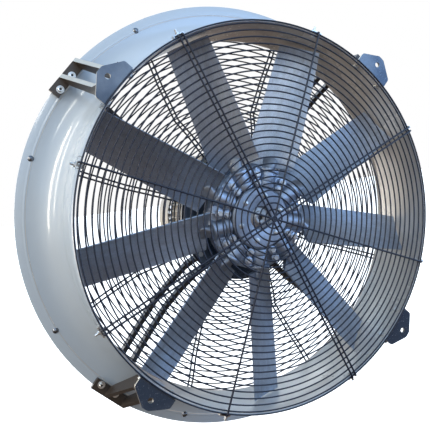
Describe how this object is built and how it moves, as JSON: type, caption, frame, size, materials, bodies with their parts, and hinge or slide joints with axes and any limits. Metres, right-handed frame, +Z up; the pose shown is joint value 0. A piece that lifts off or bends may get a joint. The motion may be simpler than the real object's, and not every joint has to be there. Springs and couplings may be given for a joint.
{
  "type": "axial fan",
  "caption": "Large industrial axial fan in a short bell-mouth casing with wire guards, corner mounting lugs, a bladed hub and a flange motor behind",
  "frame": {"origin": "Centre of the circle through the four lug holes, in the plane of the lugs' front faces", "axes": "Y is the fan axis and -Y the outlet side, Z is up with the terminal box on top, X is to the right seen from the outlet side"},
  "size_m": [1.244, 0.5891, 1.244],
  "materials": {
    "casing_paint": "satin",
    "guard_coating": "satin",
    "zinc_steel": "satin",
    "black_steel": "satin",
    "blade_aluminium": "satin",
    "hub_casting": "satin",
    "motor_paint": "satin",
    "bare_steel": "satin",
    "core_laminations": "matte",
    "winding_enamel": "gloss",
    "black_plastic": "matte",
    "bearing_steel": "gloss"
  },
  "bodies": {
    "fan_body": {"fan_casing": "casing_paint", "front_guard_spokes": "guard_coating", "front_guard_rings": "guard_coating", "rear_guard_spokes": "guard_coating", "rear_guard_rings": "guard_coating", "front_guard_clips": "zinc_steel", "front_guard_screws": "zinc_steel", "front_guard_nuts": "zinc_steel", "flange_bolts": "zinc_steel", "flange_nuts": "zinc_steel", "lug_screws": "zinc_steel", "lug_nuts": "zinc_steel", "foot_bolts": "zinc_steel", "foot_washers": "zinc_steel", "foot_nuts": "zinc_steel", "tab_screws": "zinc_steel", "tab_nuts": "zinc_steel", "motor_bolts": "zinc_steel", "motor_nuts": "zinc_steel", "cowl_screws": "zinc_steel", "lid_screws": "zinc_steel", "bracket_arms": "black_steel", "motor_support_arms": "black_steel", "motor_plate": "black_steel", "lug_upper_right": "black_steel", "lug_upper_left": "black_steel", "lug_lower_left": "black_steel", "lug_lower_right": "black_steel", "drive_end_shield": "motor_paint", "motor_frame": "motor_paint", "rear_end_shield": "motor_paint", "fan_cowl": "motor_paint", "terminal_box": "motor_paint", "terminal_lid": "motor_paint", "stator_core": "core_laminations", "stator_windings": "winding_enamel", "cable_gland": "black_plastic", "terminal_block": "black_plastic", "bearing_seals": "black_plastic", "bearing_outer_rings": "bearing_steel", "bearing_balls": "bearing_steel"},
    "rotor": {"motor_shaft": "bare_steel", "rotor_core": "core_laminations", "shaft_key": "bare_steel", "cooling_fan": "black_plastic", "bearing_inner_rings": "bearing_steel", "taper_bush": "bare_steel", "end_bolt": "zinc_steel", "hub_front_half": "hub_casting", "hub_rear_half": "hub_casting", "hub_bolts": "zinc_steel", "blade_1": "blade_aluminium", "blade_2": "blade_aluminium", "blade_3": "blade_aluminium", "blade_4": "blade_aluminium", "blade_5": "blade_aluminium", "blade_6": "blade_aluminium", "blade_7": "blade_aluminium", "blade_8": "blade_aluminium", "blade_9": "blade_aluminium"}
  },
  "joints": [
    {"name": "rotor_spin", "type": "hinge", "parent": "fan_body", "child": "rotor", "pos_m": [0, 0.1, 0], "axis": [0, 1, 0], "continuous": true}
  ]
}
